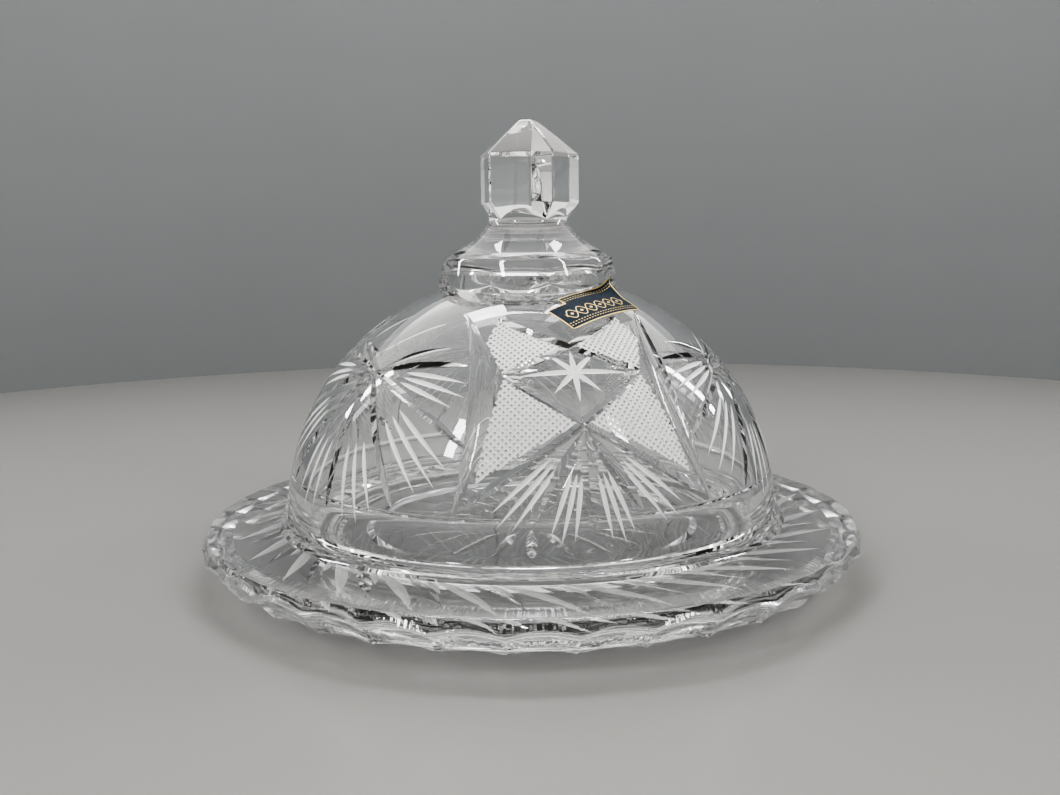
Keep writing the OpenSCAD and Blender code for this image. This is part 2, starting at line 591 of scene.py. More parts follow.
def spin(bearing: Array) -> tuple[Array, Array]:
    """The level directions away from the axis and of growing bearing, as two columns of numbers each."""
    sine, cosine = np.sin(bearing), np.cos(bearing)
    return np.stack([sine, -cosine], axis=-1), np.stack([cosine, sine], axis=-1)


@dataclass
class Dome(Surface):
    """The outside of a spheroid. A height angle b stands for radius r cos b and height h sin b."""

    radius: float
    rise: float
    base: float
    reference: float = 74.0

    def height(self, value: float) -> float:
        """Mercator's latitude: asinh(tan b)."""
        return self.reference * float(np.arcsinh(np.tan(np.radians(value))))

    def angle(self, chart: Array) -> Array:
        """The height angle in radians: atan(sinh y)."""
        return np.arctan(np.sinh(chart[:, 1] / self.reference))

    def vectors(self, chart: Array) -> Array:
        """Unit vectors at the bearing and the height angle.

        Args:
            chart: points of the flat chart, one a row.

        Returns:
            A unit vector for each point.
        """
        out, _ = spin(chart[:, 0] / self.reference)
        angle = self.angle(chart)
        return np.column_stack([out * np.cos(angle)[:, None], np.sin(angle)])

    def chart(self, vectors: Array) -> Array:
        """Bearing and Mercator's latitude of unit vectors.

        Args:
            vectors: vectors as tracks use them, one a row.

        Returns:
            The chart's points.
        """
        bearing = np.arctan2(vectors[:, 0], -vectors[:, 1])
        angle = np.arcsin(np.clip(vectors[:, 2], -1, 1))
        return self.reference * np.column_stack([bearing, np.arcsinh(np.tan(angle))])

    def track(self, start: Pair, end: Pair) -> Track:
        """A great arc."""
        return GreatArc(self.point(start), self.point(end), self.reference)

    def outward(self, chart: Array) -> tuple[Array, Array, Array]:
        """The spheroid's normal leans as (cos b / r, sin b / h); y runs up the meridian.

        Args:
            chart: points of the flat chart, one a row.

        Returns:
            The normals, the ways round and the ways up.
        """
        out, round_ = spin(chart[:, 0] / self.reference)
        angle = self.angle(chart)
        lean = np.stack([np.cos(angle) / self.radius, np.sin(angle) / self.rise], axis=1)
        lean /= np.linalg.norm(lean, axis=1)[:, None]
        normal = np.column_stack([out * lean[:, :1], lean[:, 1]])
        up = np.column_stack([-out * lean[:, 1:], lean[:, 0]])
        return normal, np.column_stack([round_, np.zeros(len(chart))]), up

    def place(self, chart: Array, depth: Array) -> Array:
        """(r cos b, h sin b), moved against the normal by the depth.

        Args:
            chart: points of the flat chart, one a row.
            depth: how deep each point lies below the surface.

        Returns:
            The points in space.
        """
        out, _ = spin(chart[:, 0] / self.reference)
        angle = self.angle(chart)
        level = out * (self.radius * np.cos(angle))[:, None]
        skin = np.column_stack([level, self.base + self.rise * np.sin(angle)])
        return skin - self.outward(chart)[0] * depth[:, None]

    def grain(self, chart: Array) -> Array:
        """The cosine of the height angle."""
        return np.cos(self.angle(chart))


@dataclass
class Underside(Surface):
    """The lower face of an evenly sloping ring: z high at radius at, and fall more for each millimetre out."""

    z: float
    at: float
    fall: float
    reference: float = 70.0

    def height(self, value: float) -> float:
        """The logarithm of the radius."""
        return self.reference * float(np.log(value / self.reference))

    def radii(self, chart: Array) -> Array:
        """The radius: exp y."""
        return self.reference * np.exp(chart[:, 1] / self.reference)

    def vectors(self, chart: Array) -> Array:
        """Level positions."""
        return spin(chart[:, 0] / self.reference)[0] * self.radii(chart)[:, None]

    def chart(self, vectors: Array) -> Array:
        """Bearing and logarithm of the radius."""
        bearing = np.arctan2(vectors[:, 0], -vectors[:, 1])
        return self.reference * np.column_stack([bearing, np.log(np.hypot(*vectors.T) / self.reference)])

    def track(self, start: Pair, end: Pair) -> Track:
        """A straight line."""
        return StraightLine(self.point(start), self.point(end))

    def outward(self, chart: Array) -> tuple[Array, Array, Array]:
        """The normal points down and leans by the slope; y runs outwards.

        Args:
            chart: points of the flat chart, one a row.

        Returns:
            The normals, the ways round and the ways out.
        """
        out, round_ = spin(chart[:, 0] / self.reference)
        length = np.hypot(1.0, self.fall)
        flat = np.zeros(len(chart))
        normal = np.column_stack([out * self.fall / length, flat - 1 / length])
        outwards = np.column_stack([out / length, flat + self.fall / length])
        return normal, np.column_stack([round_, flat]), outwards

    def place(self, chart: Array, depth: Array) -> Array:
        """The level position with the slope's height, raised by the depth.

        Args:
            chart: points of the flat chart, one a row.
            depth: how deep each point lies below the surface.

        Returns:
            The points in space.
        """
        radii = self.radii(chart)
        level = spin(chart[:, 0] / self.reference)[0] * radii[:, None]
        return np.column_stack([level, self.z + self.fall * (radii - self.at) + depth])

    def grain(self, chart: Array) -> Array:
        """The radius over the reference."""
        return self.radii(chart) / self.reference


# ------------------------------------------------------------------------------------------ the meshes


def add_object(name: str, data: bpy.types.ID) -> bpy.types.Object:
    """Makes an object of its data and links it to the scene, at the origin.

    Args:
        name: the name that it gets.
        data: its mesh, light or camera.

    Returns:
        The object.
    """
    made = bpy.data.objects.new(name, data)
    bpy.context.scene.collection.objects.link(made)
    return made


def swept(start: Pair, pull: Pair, end: Pair, share: Array) -> list[Pair]:
    """Points of a curve pulled towards a third one: start (1 - u)^2 + 2 pull u (1 - u) + end u^2."""
    curve = np.outer((1 - share) ** 2, start) + np.outer(2 * share * (1 - share), pull)
    return [(radius, height) for radius, height in curve + np.outer(share ** 2, end)]


class GlassMesh:
    """Gathers rows of points round the axis and carved rings into one closed mesh."""

    def __init__(self, columns: int, first: float) -> None:
        """Takes the number of points in a row and the bearing of the first.

        Args:
            columns: the number of points in a row.
            first: the bearing of the first column in degrees.
        """
        self.columns = columns
        self.bearings = np.radians(first + 360.0 * np.arange(columns) / columns)
        self.points: list[Array] = []
        self.count = 0
        self.faces: list[list[int]] = []
        self.finishes: list[int] = []
        self.normals: list[Array] = []

    def add_points(self, points: Array) -> Array:
        """Adds points in millimetres and returns their numbers.

        Args:
            points: the points, one a row.

        Returns:
            Their numbers.
        """
        self.points.append(points)
        self.count += len(points)
        return np.arange(self.count - len(points), self.count)

    def add_row(self, radius: Array | float, height: Array | float) -> Array:
        """Adds one row round the axis, with a radius and a height for each column, and returns its numbers.

        Args:
            radius: a radius for each column, or one for all.
            height: a height for each column, or one for all.

        Returns:
            The numbers of its points.
        """
        radius = np.broadcast_to(radius, self.columns)
        height = np.broadcast_to(height, self.columns)
        out, _ = spin(self.bearings)
        return self.add_points(np.column_stack([out * radius[:, None], height]))

    def add_faces(self, faces: Array, finish: Array | int, normals: Array | None = None) -> None:
        """Adds faces with their finish and, where it is known, the normal at each of their corners.

        Args:
            faces: corner numbers, one face a row.
            finish: the number of each face's finish, or one for all.
            normals: a normal for each corner; without them, Blender's own.
        """
        self.faces.extend(faces.tolist())
        self.finishes.extend(np.broadcast_to(finish, len(faces)).tolist())
        self.normals.append(np.zeros((faces.size, 3)) if normals is None else normals)

    def bridge(self, lower: Array, upper: Array, finish: Finish = Finish.CLEAR) -> None:
        """Joins two rows by quads; the solid lies to the left of the way from lower to upper."""
        right, above = np.roll(lower, -1), np.roll(upper, -1)
        self.add_faces(np.stack([lower, right, above, upper], axis=1), finish.value)

    def close(self, row: Array, height: float, upward: bool) -> None:
        """Closes a row with a fan to a point on the axis.

        Args:
            row: the row of points to go on from.
            height: the height of the point on the axis.
            upward: whether the fan faces up.
        """
        tip = np.full(self.columns, self.add_points(np.array([[0.0, 0.0, height]]))[0])
        ring = np.roll(row, -1)
        order = [row, ring, tip] if upward else [ring, row, tip]
        self.add_faces(np.stack(order, axis=1), Finish.CLEAR.value)

    def path(self, start: Array, rows: list[tuple[Array | float, Array | float]]) -> Array:
        """Adds rows one after another from a row that is there, and returns the last.

        Args:
            start: the row that is there.
            rows: radius and height of each row that follows.

        Returns:
            The last row.
        """
        for radius, height in rows:
            following = self.add_row(radius, height)
            self.bridge(start, following)
            start = following
        return start

    def build(self, name: str, materials: list[bpy.types.Material]) -> bpy.types.Object:
        """Makes the object, smooth except where faces meet at more than the crease angle in degrees.

        Args:
            name: the name that it gets.
            materials: the materials, in the order of the finishes' numbers.

        Returns:
            The object.
        """
        mesh = bpy.data.meshes.new(name)
        mesh.from_pydata((np.concatenate(self.points) * MM).tolist(), [], self.faces)
        for material in materials:
            mesh.materials.append(material)
        mesh.polygons.foreach_set("material_index", self.finishes)
        mesh.shade_smooth()
        mesh.set_sharp_from_angle(angle=np.radians(GLASS_CREASE))
        mesh.normals_split_custom_set(np.concatenate(self.normals).tolist())
        return add_object(name, mesh)


class CarvedRing:
    """A ring of a surface carved with cuts: one repeat is worked out and then turned round the axis.

    Outlines and middle lines of the cuts are laid in the surface's flat chart and joined into triangles
    that keep them as edges. Each point then sinks by the deepest cut that covers it.

    Points nearer than NEAR count as one, a cut reaches BESIDE at most past its ends, and points stand
    SPACING apart along it, all in millimetres.
    """

    NEAR = 2e-3
    BESIDE = 14.0
    SPACING = 2.4

    def __init__(self, surface: Surface, repeats: int, low: float, high: float, step: float) -> None:
        """Takes the surface, the number of repeats, the ring's two edges and the size of plain triangles."""
        self.surface, self.repeats, self.step = surface, repeats, step
        self.low, self.high = surface.height(low), surface.height(high)

    def lines(self, cut: Cut, track: Track) -> list[Array]:
        """The cut's outline and the lines along its floor, as points of the chart.

        Args:
            cut: the cut.
            track: the cut's line.

        Returns:
            The lines from side to side, each a run of points.
        """
        count = max(3, int(np.ceil(track.length / self.SPACING)))
        share = np.linspace(0, 1, count + 1)
        if cut.run_out:
            ends = cut.run_out * np.array([0.06, 0.3]) / track.length
            body = np.linspace(ends[1], 1 - ends[1], count)
            share = np.unique(np.concatenate([[0, 1], ends, 1 - ends, body]))
        along = share * track.length
        wide, middle = cut.half_width(along, track.length), cut.middle(along, track.length)
        shares = (-1, 0, 1) if cut.wheel is Wheel.MITRE else (-1, -0.55, 0, 0.55, 1)
        return [self.surface.chart(track.at(along, middle + side * wide)) for side in shares]

    def depths(self, cuts: list[Cut], tracks: list[Track], chart: Array) -> tuple[Array, Array]:
        """The greatest depth at each point of the chart and the number of the cut that makes it, or -1.

        Args:
            cuts: the cuts, in the order in which they win where depths are equal.
            tracks: the line of each cut.
            chart: points of the flat chart, one a row.

        Returns:
            Depths and the cuts' numbers.
        """
        vectors = self.surface.vectors(chart)
        best, owner = np.zeros(len(chart)), np.full(len(chart), -1)
        for number, (cut, track) in enumerate(zip(cuts, tracks)):
            depth = cut.depth(*track.locate(vectors), track.length)
            deeper = depth > best + 1e-5
            best[deeper], owner[deeper] = depth[deeper], number
        return best, owner

    def carve(self, glass: GlassMesh, cuts: list[Cut]) -> tuple[Array, Array]:
        """Adds the ring to a mesh and returns its lower and its upper row of points.

        Args:
            glass: the mesh that is being gathered.
            cuts: the cuts of one repeat.

        Returns:
            The two rows.
        """
        left = self.surface.reference * glass.bearings[0]
        right = left + self.surface.reference * np.radians(360.0 / self.repeats)
        reach = self.reaching(cuts, left, right)
        tracks = [self.surface.track(cut.start, cut.end) for cut in reach]
        points, edges = self.outline(left, right, glass.columns // self.repeats)
        self.add_lines(points, edges, reach, tracks, (left, right))
        grid = self.filling(left, right)
        _, owner = self.depths(reach, tracks, grid)
        plain = np.array([cut.wheel is Wheel.ROUND for cut in reach] + [True])
        points.append(grid[plain[owner]])
        flat = [Vector(point) for point in np.concatenate(points)]
        found = delaunay_2d_cdt(flat, edges, [], 0, 1e-3, False)
        chart = np.array([tuple(point) for point in found[0]])
        chart, triangles = self.merged(chart, np.array(found[2]), (left, right))
        x, y = chart[triangles].mean(axis=1).T
        triangles = triangles[(x > left) & (x < right) & (y > self.low) & (y < self.high)]
        used, triangles = np.unique(triangles, return_inverse=True)
        return self.turn_round(glass, chart[used], triangles.reshape(-1, 3), reach, tracks, (left, right))

    def reaching(self, cuts: list[Cut], left: float, right: float) -> list[Cut]:
        """The cuts that reach into one repeat, its neighbours' among them.

        Args:
            cuts: the cuts of one repeat.
            left: the chart's x at the repeat's left side.
            right: the chart's x at its right side.

        Returns:
            The cuts, those of the neighbours turned to their places.
        """
        ref, turn, made = self.surface.reference, 360.0 / self.repeats, []
        for copy in (cut.turned(lap * turn) for cut in cuts for lap in range(-2, 3)):
            ends = ref * np.radians([copy.start[0], copy.end[0]])
            if min(ends) < right + self.BESIDE and max(ends) > left - self.BESIDE:
                made.append(copy)
        return made

    def add_lines(self, points: list[Array], edges: list[tuple[int, int]], cuts: list[Cut], tracks: list[Track],
                  sides: Pair) -> None:
        """Adds the cuts' lines, as points and as the edges between them, where they touch the repeat.

        Args:
            points: runs of points; lengthened here.
            edges: pairs of point numbers; lengthened here.
            cuts: the cuts, in the order in which they win where depths are equal.
            tracks: the line of each cut.
            sides: the chart's x at the repeat's two sides.
        """
        whole, middle = self.surface.reference * 2 * np.pi, sum(sides) / 2
        for cut, track in zip(cuts, tracks):
            for line in self.lines(cut, track):
                line = line - np.column_stack([whole * np.round((line[:, 0] - middle) / whole), 0 * line[:, 1]])
                if line[:, 0].max() >= sides[0] and line[:, 0].min() <= sides[1]:
                    start = sum(len(part) for part in points)
                    points.append(line)
                    edges += [(start + i, start + i + 1) for i in range(len(line) - 1)]

    def merged(self, chart: Array, triangles: Array, sides: Pair) -> tuple[Array, Array]:
        """Joins points that fall in one cell of a fine grid and drops the triangles that this makes a line.

        Args:
            chart: points of the flat chart, one a row.
            triangles: three point numbers a row.
            sides: the chart's x at the repeat's two sides.

        Returns:
            The points and the triangles that are left.
        """
        for side in sides:
            chart[np.abs(chart[:, 0] - side) < self.NEAR, 0] = side
        cells = np.round((chart - [sides[0], self.low]) / (2 * self.NEAR))
        _, first, place = np.unique(cells, axis=0, return_index=True, return_inverse=True)
        triangles = place.ravel()[triangles]
        whole = (triangles != np.roll(triangles, 1, axis=1)).all(axis=1)
        return chart[first], triangles[whole]

    def outline(self, left: float, right: float, columns: int) -> tuple[list[Array], list[tuple[int, int]]]:
        """The repeat's own outline: points at each column along both edges, and matching points up both sides.

        Args:
            left: the chart's x at the repeat's left side.
            right: the chart's x at its right side.
            columns: the number of columns in a repeat.

        Returns:
            The points and the edges between them.
        """
        xs = np.linspace(left, right, columns + 1)
        ys = np.linspace(self.low, self.high, max(2, int((self.high - self.low) / self.step)) + 1)
        loop = np.concatenate([
            np.column_stack([xs[:-1], np.full(columns, self.low)]),
            np.column_stack([np.full(len(ys) - 1, right), ys[:-1]]),
            np.column_stack([xs[:0:-1], np.full(columns, self.high)]),
            np.column_stack([np.full(len(ys) - 1, left), ys[:0:-1]])])
        return [loop], [(i, (i + 1) % len(loop)) for i in range(len(loop))]

    def filling(self, left: float, right: float) -> Array:
        """Points of a triangle grid inside the repeat, clear of its outline.

        Args:
            left: the chart's x at the repeat's left side.
            right: the chart's x at its right side.

        Returns:
            The points.
        """
        levels = np.arange(self.low, self.high, self.step * 0.87)
        xs, ys = np.meshgrid(np.arange(left, right, self.step), levels)
        xs[1::2] += self.step / 2
        grid = np.column_stack([xs.ravel(), ys.ravel()])
        gap = 0.4 * self.step
        clear = (grid[:, 0] > left + gap) & (grid[:, 0] < right - gap)
        return grid[clear & (grid[:, 1] > self.low + gap) & (grid[:, 1] < self.high - gap)]

    def turn_round(self, glass: GlassMesh, chart: Array, triangles: Array, cuts: list[Cut], tracks: list[Track],
                   sides: Pair) -> tuple[Array, Array]:
        """Turns the repeat round the axis, joined side to side, and returns the lower and the upper row.

        Args:
            glass: the mesh that is being gathered.
            chart: points of the flat chart, one a row.
            triangles: three point numbers a row.
            cuts: the cuts, in the order in which they win where depths are equal.
            tracks: the line of each cut.
            sides: the chart's x at the repeat's two sides.

        Returns:
            The two rows.
        """
        seams = []
        for side in sides:
            seam = np.flatnonzero(np.abs(chart[:, 0] - side) < self.NEAR)
            chart[seam, 0] = side
            seams.append(seam[np.argsort(chart[seam, 1])])
        if len(seams[0]) != len(seams[1]):
            raise RuntimeError(f"a repeat's sides have {len(seams[0])} and {len(seams[1])} points")
        chart[seams[1], 1] = chart[seams[0], 1]
        depth, _ = self.depths(cuts, tracks, chart)
        depth[seams[1]] = depth[seams[0]]
        _, owner = self.depths(cuts, tracks, chart[triangles].mean(axis=1))
        finish = np.array([cut.finish.value for cut in cuts] + [Finish.CLEAR.value])[owner]
        normals = self.corner_normals(chart, triangles, cuts, tracks, owner)
        keep = np.setdiff1d(np.arange(len(chart)), seams[1])
        number = np.full(len(chart), -1)
        number[keep] = np.arange(len(keep))
        angle = 2 * np.pi / self.repeats
        step = self.surface.reference * angle
        base, rows = glass.count, {self.low: [], self.high: []}
        for lap in range(self.repeats):
            shifted = chart + np.array([lap * step, 0.0])
            glass.add_points(self.surface.place(shifted[keep], depth[keep]))
            own = base + lap * len(keep) + number
            own[seams[1]] = base + ((lap + 1) % self.repeats) * len(keep) + number[seams[0]]
            sine, cosine = np.sin(lap * angle), np.cos(lap * angle)
            rotation = np.array([[cosine, sine, 0], [-sine, cosine, 0], [0, 0, 1]])
            glass.add_faces(own[triangles], finish, normals @ rotation)
            for level, row in rows.items():
                line = np.flatnonzero((np.abs(chart[:, 1] - level) < self.NEAR) & (number >= 0))
                row.append(own[line[np.argsort(chart[line, 0])]])
        lower, upper = (np.concatenate(row) for row in rows.values())
        if len(lower) != glass.columns or len(upper) != glass.columns:
            raise RuntimeError(f"a carved ring's rows have {len(lower)} and {len(upper)} points")
        return lower, upper

    def corner_normals(self, chart: Array, triangles: Array, cuts: list[Cut], tracks: list[Track],
                       owner: Array) -> Array:
        """Normals at the triangles' corners: the surface's own, leaned by the slope of the triangle's cut.

        The slope is taken a little way in from the corner, so a flank next to a middle line keeps its own side.

        Args:
            chart: points of the flat chart, one a row.
            triangles: three point numbers a row.
            cuts: the cuts, in the order in which they win where depths are equal.
            tracks: the line of each cut.
            owner: the number of the cut that makes each triangle, or -1.

        Returns:
            Unit vectors, three for each triangle.
        """
        tiny, inwards, steepest = 0.02, 0.15, 1.5
        corners = chart[triangles]
        middle = corners.mean(axis=1)
        probe = corners + inwards * (middle[:, None, :] - corners)
        flat, owners = probe.reshape(-1, 2), np.repeat(owner, 3)
        normal, across, along = self.surface.outward(corners.reshape(-1, 2))
        lean = np.zeros((len(flat), 2))
        for number in np.unique(owner[owner >= 0]):
            rows = np.flatnonzero(owners == number)
            cut, track = cuts[number], tracks[number]
            values = []
            for dx, dy in ((-1, 0), (1, 0), (0, -1), (0, 1)):
                moved = flat[rows] + tiny * np.array([dx, dy])
                values.append(cut.depth(*track.locate(self.surface.vectors(moved)), track.length))
            grain = self.surface.grain(flat[rows])
            lean[rows, 0] = (values[1] - values[0]) / (2 * tiny * grain)
            lean[rows, 1] = (values[3] - values[2]) / (2 * tiny * grain)
        lean = np.clip(lean, -steepest, steepest)
        leaned = normal + across * lean[:, :1] + along * lean[:, 1:]
        return leaned / np.linalg.norm(leaned, axis=1)[:, None]


# ------------------------------------------------------------------------------------- sub-assemblies


def rightward(start: Array) -> Array:
    """The level unit vector to the right of a place on the dome."""
    right = np.array([-start[1], start[0], 0.0])
    return right / np.linalg.norm(right)


def place_on(surface: Surface, centre: Pair, direction: float, distance: float) -> Pair:
    """The place at a distance from a centre on a dome, along a direction in degrees from straight down.

    Formula: turn the centre's vector by distance / reference towards the direction, which is the
    downward heading times the cosine plus the rightward heading times the sine.

    Args:
        surface: the dome.
        centre: the place to start from.
        direction: degrees from straight down, towards the right.
        distance: millimetres along the dome.

    Returns:
        The place's bearing and height angle.
    """
    start = surface.point(centre)
    right = rightward(start)
    down = -np.cross(start, right)
    turn, way = distance / surface.reference, np.radians(direction)
    ahead = down * np.cos(way) + right * np.sin(way)
    x, y, z = start * np.cos(turn) + ahead * np.sin(turn)
    return float(np.degrees(np.arctan2(x, -y))), float(np.degrees(np.arcsin(z)))


def offset_on(surface: Surface, centre: Pair, place: Pair) -> Array:
    """How far a place lies to the right of a centre and above it, in millimetres along the dome.

    Formula: the angle between the two vectors, shared out by the end's parts along right and up.

    Args:
        surface: the dome.
        centre: the place to start from.
        place: the place to measure.

    Returns:
        The two distances.
    """
    start, end = surface.point(centre), surface.point(place)
    right = rightward(start)
    angle = np.arccos(np.clip(start @ end, -1, 1))
    heading = np.array([end @ right, end @ np.cross(start, right)])
    return surface.reference * angle * heading / max(np.linalg.norm(heading), 1e-9)


def through(surface: Surface, start: Pair, via: Pair, end: Pair) -> float:
    """The bow that a cut from start to end needs to pass through a place on its way.

    Args:
        surface: the dome.
        start: where it starts.
        via: a place on its way.
        end: where it ends.

    Returns:
        The bow, in millimetres.
    """
    track = surface.track(start, end)
    along, across = track.locate(surface.point(via)[None])
    share = float(along[0]) / track.length
    return float(across[0]) / (4 * share * (1 - share))


@dataclass
class Cover:
    """The domed cover: hollow dome cut in two kinds of panel, ten-lobed collar, flared neck, faceted knob."""

    seat_z: float
    base_r: float
    columns: int = 480
    first: float = -38.0
    dome_r: float = 74.8
    dome_h: float = 72.0
    wall: float = 5.5
    low_angle: float = 4.2
    high_angle: float = 64.5
    sleeve_h: float = 13.0
    groove_r: float = 26.9
    collar_low_r: float = 27.7
    collar_top_r: float = 25.3
    collar_h: float = 7.4
    lobes: int = 10
    lobe_middle: float = -5.6
    lobe_sink: float = 0.7
    ceiling_t: float = 4.6
    flare_h: float = 10.9
    neck_r: float = 11.8
    knob_r: float = 16.0
    knob_turn: float = -8.0
    knob_under_h: float = 5.2
    knob_side_h: float = 14.4
    crown_low_h: float = 5.6
    crown_mid_r: float = 8.8
    crown_top_h: float = 4.2
    crown_flat_r: float = 3.1
    knob_sides: int = 5
    arris: float = 0.3
    panels: int = 3
    fan_middle: float = 12.0
    star_middle: float = -48.0

    @property
    def dome(self) -> Dome:
        """The outside of the dome as a surface for cuts."""
        return Dome(self.dome_r, self.dome_h, self.seat_z)

    @property
    def collar_z(self) -> float:
        """Height of the collar's widest circle."""
        return self.seat_z + self.skin_z(self.collar_low_r - 1.2) + 2

    def skin_z(self, radius: float, inset: float = 0.0) -> float:
        """Height of the dome's ellipse above the cover's base at a radius, for a wall's inset."""
        return (self.dome_h - inset) * np.sqrt(1 - (radius / (self.dome_r - inset)) ** 2)

    def build(self) -> bpy.types.Object:
        """Builds the cover as one closed mesh, from the hollow's ceiling round the base to the knob's flat.

        Returns:
            The object.
        """
        glass = GlassMesh(self.columns, self.first)
        base = self.hollow(glass)
        ring = CarvedRing(self.dome, self.panels, self.low_angle, self.high_angle, 2.6)
        lower, upper = ring.carve(glass, self.cuts())
        glass.bridge(self.band(glass, base), lower)
        self.knob(glass, self.collar(glass, upper))
        return glass.build("cover_cut_crystal", [PolishedCrystal().material("clear_crystal_cover"),
                                                 FrostedCrystal().material("cut_frost_cover")])

    def hollow(self, glass: GlassMesh) -> Array:
        """Inner surface: ceiling in the collar, ellipse of the hollow, sleeve at the base. Ends at the base.

        Args:
            glass: the mesh that is being gathered.

        Returns:
            The row at the base.
        """
        z, ceiling = self.seat_z, self.collar_z + self.collar_h - self.ceiling_t
        attic = self.collar_top_r - self.wall + 0.7
        row = glass.add_row(attic * 0.4, ceiling)
        glass.close(row, ceiling, False)
        row = glass.path(row, [(attic - 1.4, ceiling), (attic - 0.6, ceiling - 0.25),
                               (attic - 0.1, ceiling - 1.0),
                               (attic + 0.7, z + self.skin_z(attic + 1, self.wall) + 0.7)])
        a, h = self.dome_r - self.wall, self.dome_h - self.wall
        start, stop = np.arccos((attic + 1.6) / a), np.arcsin(self.sleeve_h / h)
        row = glass.path(row, [(a * np.cos(t), z + h * np.sin(t)) for t in np.linspace(start, stop, 24)])
        inner, lip_z = a * np.cos(stop), z + self.sleeve_h
        row = glass.path(row, [(inner - 0.1, lip_z - 0.15)])
        ledge = glass.add_row(inner - 1.05, lip_z - 0.85)
        glass.bridge(row, ledge, Finish.FROSTED)
        drop = np.linspace(self.sleeve_h - 2.2, 1.2, 6)
        edge = a * np.sqrt(1 - (drop / h) ** 2) - 1.15
        return glass.path(ledge, [(inner - 1.15, lip_z - 1.3), *zip(edge, z + drop), (a - 0.6, z + 0.45),
                                  (a - 0.2, z + 0.08)])

    def band(self, glass: GlassMesh, row: Array) -> Array:
        """The base's flat, its rounded outer corner, the upright band and the step up to the dome.

        Args:
            glass: the mesh that is being gathered.
            row: the row of points to go on from.

        Returns:
            The row at the dome's foot.
        """
        z, r = self.seat_z, self.base_r
        return glass.path(row, [(r - 1.0, z + 0.05), (r - 0.45, z + 0.2), (r - 0.12, z + 0.5), (r, z + 1.0),
                                (r, z + 2.1), (r - 0.15, z + 2.5), (r - 0.5, z + 2.8), (r - 0.85, z + 3.3)])

    def cuts(self) -> list[Cut]:
        """All the cuts of one repeat: a fan panel, a star panel and the two crescents between them."""
        return self.fan_panel() + self.star_panel() + self.crescents()

    def ray(self, focus: Pair, way: float, span: Pair, half: float, finish: Finish, **shape: object) -> Cut:
        """A cut on a line through a focus, from one distance to another."""
        start, end = (place_on(self.dome, focus, way, distance) for distance in span)
        return Cut(start, end, half, finish, **shape)

    def needles(self, focus: Pair, middle: float, spread: float, span: Pair, half: float = 0.68) -> list[Cut]:
        """Three frosted needles that point at a focus; the middle one is a little longer.

        Args:
            focus: the place that it points at.
            middle: the middle one's direction, in degrees from straight down.
            spread: degrees between two of them.
            span: distances from the focus at which the middle one starts and ends.
            half: half their width.

        Returns:
            The three cuts.
        """
        inner, outer = span
        return [self.ray(focus, middle + spread * side, (inner, outer - 1.8 * abs(side)), half, Finish.FROSTED,
                         slope=0.45, lead=0.72) for side in (-1.0, 0.0, 1.0)]

    def mitre(self, focus: Pair, way: float, length: float, half: float, **shape: float) -> Cut:
        """A polished V groove that runs out from a focus."""
        return Cut(focus, place_on(self.dome, focus, way, length), half, Finish.CLEAR, **shape)

    def bowed(self, places: tuple[Pair, Pair, Pair], half: float, **shape: object) -> Cut:
        """A polished cut from the first of three places through the second to the third."""
        return Cut(places[0], places[2], half, Finish.CLEAR, bow=through(self.dome, *places), **shape)

    def fan_panel(self) -> list[Cut]:
        """Lozenge of long mitres with a frosted star in it, hatched fields beside it, and a fan below.

        Returns:
            The cuts.
        """
        mid = self.fan_middle
        left, right, top, foot = (mid - 19.5, 41.5), (mid + 19.5, 41.5), (mid, 48.7), (mid, 30.4)
        made = []
        for side, near, far in ((-1, left, right), (1, right, left)):
            start, end = (mid + side * 24.0, 57.5), (mid - side * 26.0, 13.5)
            made.append(self.bowed((start, top, far), 1.25, run_out=4.0))
            made.append(self.bowed((near, foot, end), 1.25, run_out=6.0))
            made += [self.ray(near, tilt - side * 90.0, (1.5, 9.5), 0.9, Finish.CLEAR, slope=0.6)
                     for tilt in (-13.0, 13.0)]
            made += self.hatching([top, start, (mid + side * 26.0, 50.0), near])
            made += self.hatching([near, foot, (mid + side * 24.0, 17.5), (mid + side * 22.0, 28.0)])
        star = ((90, 15.0), (-90, 15.0), (180, 7.2), (0, 9.4), (45, 9.0), (-45, 9.0), (135, 9.0), (-135, 9.0))
        made += [self.ray((mid, 42.0), way, (-0.8, length), 0.8, Finish.FROSTED, slope=0.5, lead=0.6)
                 for way, length in star]
        focus = (mid, 29.0)
        for way, half in ((0, 2.3), (32, 2.0), (-32, 2.0)):
            made.append(self.mitre(focus, way, 27.0, half, slope=0.55))
        for way, outer in ((16, 31.0), (-16, 31.0), (46, 34.0), (-46, 34.0)):
            made += self.needles(focus, way, 6.2, (12.0, outer), 0.64)
        return made

    def star_panel(self) -> list[Cut]:
        """Long mitres from a focus with groups of frosted needles between them and a leaf at each side.

        Returns:
            The cuts.
        """
        focus = (self.star_middle, 40.6)
        lengths = ((0, 40.0), (36, 43.0), (-36, 43.0), (72, 42.0), (-72, 42.0), (108, 29.5), (-108, 29.5))
        made = [self.mitre(focus, way, length, 1.15, slope=0.75, run_out=9.0) for way, length in lengths]
        for way, span in ((18, (22.0, 44.0)), (54, (19.0, 44.0)), (90, (12.0, 33.0))):
            made += self.needles(focus, -way, 7.4, span) + self.needles(focus, way, 7.4, span)
        made += [self.ray(focus, side * 122.0, (3, 24), 1.8, Finish.CLEAR, wheel=Wheel.ROUND, slope=0.3)
                 for side in (-1, 1)]
        return made

